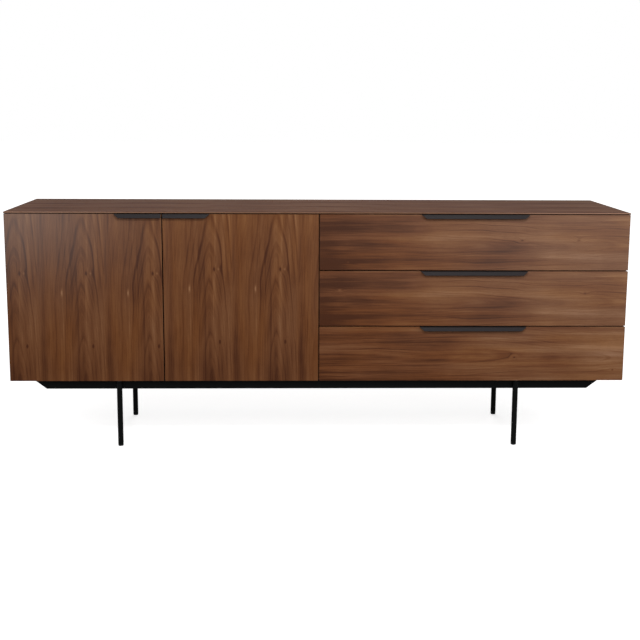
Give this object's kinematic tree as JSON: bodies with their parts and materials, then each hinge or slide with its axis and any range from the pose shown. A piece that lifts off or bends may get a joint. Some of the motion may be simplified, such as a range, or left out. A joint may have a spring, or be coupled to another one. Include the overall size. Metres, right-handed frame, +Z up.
{
  "type": "sideboard",
  "caption": "Long low walnut sideboard with hinged doors over a shelved cupboard, drawers on ball runners, folded black handles and a recessed steel base on round legs.",
  "frame": {"origin": "on the floor, in the middle of the whole width and depth, handles included", "axes": "+Z up, -Y out of the fronts towards the user, +X to the right of someone who faces them"},
  "size_m": [2, 0.534, 0.772],
  "materials": {
    "walnut_body": "matt oiled veneer",
    "walnut_front": "matt oiled veneer",
    "walnut_back": "matt veneer",
    "drawer_wood": "clear lacquer",
    "black_steel": "matt powder coat",
    "zinc_steel": "zinc plated",
    "black_plastic": "moulded matt",
    "clear_plastic": "soft translucent"
  },
  "bodies": {
    "root": {"base_cross_rails": "black_steel", "base_front_rail": "black_steel", "base_left_end": "black_steel", "base_rear_rail": "black_steel", "base_right_end": "black_steel", "base_screws": "zinc_steel", "bottom_panel": "walnut_body", "bumpers": "clear_plastic", "cabinet_runners": "zinc_steel", "centre_divider": "walnut_body", "foot_glides": "black_plastic", "front_left_leg": "black_steel", "front_right_leg": "black_steel", "hinge_arms": "zinc_steel", "hinge_plate_screws": "zinc_steel", "hinge_plates": "zinc_steel", "left_back_panel": "walnut_back", "left_side_panel": "walnut_body", "leg_plugs": "black_plastic", "leg_screws": "zinc_steel", "rear_left_leg": "black_steel", "rear_right_leg": "black_steel", "right_back_panel": "walnut_back", "right_side_panel": "walnut_body", "shelf": "walnut_body", "shelf_pins": "zinc_steel", "top_panel": "walnut_body"},
    "left_door": {"left_door": "walnut_front", "left_door_handle": "black_steel", "left_hinge_cups": "zinc_steel", "left_hinge_pins": "zinc_steel"},
    "right_door": {"right_door": "walnut_front", "right_door_handle": "black_steel", "right_hinge_cups": "zinc_steel", "right_hinge_pins": "zinc_steel"},
    "top_drawer": {"top_drawer_back": "drawer_wood", "top_drawer_bottom": "drawer_wood", "top_drawer_front": "walnut_front", "top_drawer_handle": "black_steel", "top_drawer_left_side": "drawer_wood", "top_drawer_right_side": "drawer_wood", "top_drawer_runners": "zinc_steel"},
    "top_ball_cages": {"top_ball_cages": "zinc_steel"},
    "middle_drawer": {"middle_drawer_back": "drawer_wood", "middle_drawer_bottom": "drawer_wood", "middle_drawer_front": "walnut_front", "middle_drawer_handle": "black_steel", "middle_drawer_left_side": "drawer_wood", "middle_drawer_right_side": "drawer_wood", "middle_drawer_runners": "zinc_steel"},
    "middle_ball_cages": {"middle_ball_cages": "zinc_steel"},
    "bottom_drawer": {"bottom_drawer_back": "drawer_wood", "bottom_drawer_bottom": "drawer_wood", "bottom_drawer_front": "walnut_front", "bottom_drawer_handle": "black_steel", "bottom_drawer_left_side": "drawer_wood", "bottom_drawer_right_side": "drawer_wood", "bottom_drawer_runners": "zinc_steel"},
    "bottom_ball_cages": {"bottom_ball_cages": "zinc_steel"}
  },
  "joints": [
    {"name": "left_door_hinge", "type": "hinge", "parent": "root", "child": "left_door", "pos_m": [-0.989, -0.245, 0.49425], "axis": [0, 0, -1], "range_deg": [0, 90]},
    {"name": "right_door_hinge", "type": "hinge", "parent": "root", "child": "right_door", "pos_m": [-0.01175, -0.245, 0.49425], "axis": [0, 0, 1], "range_deg": [0, 90]},
    {"name": "top_drawer_slide", "type": "slide", "parent": "root", "child": "top_drawer", "axis": [0, -1, 0], "range_m": [0, 0.32]},
    {"name": "top_cage_slide", "type": "slide", "parent": "root", "child": "top_ball_cages", "axis": [0, -1, 0], "range_m": [0, 0.16]},
    {"name": "middle_drawer_slide", "type": "slide", "parent": "root", "child": "middle_drawer", "axis": [0, -1, 0], "range_m": [0, 0.32]},
    {"name": "middle_cage_slide", "type": "slide", "parent": "root", "child": "middle_ball_cages", "axis": [0, -1, 0], "range_m": [0, 0.16]},
    {"name": "bottom_drawer_slide", "type": "slide", "parent": "root", "child": "bottom_drawer", "axis": [0, -1, 0], "range_m": [0, 0.32]},
    {"name": "bottom_cage_slide", "type": "slide", "parent": "root", "child": "bottom_ball_cages", "axis": [0, -1, 0], "range_m": [0, 0.16]}
  ],
  "couplings": [
    {"joint": "top_cage_slide", "follows": "top_drawer_slide", "ratio": 0.5},
    {"joint": "middle_cage_slide", "follows": "middle_drawer_slide", "ratio": 0.5},
    {"joint": "bottom_cage_slide", "follows": "bottom_drawer_slide", "ratio": 0.5}
  ]
}
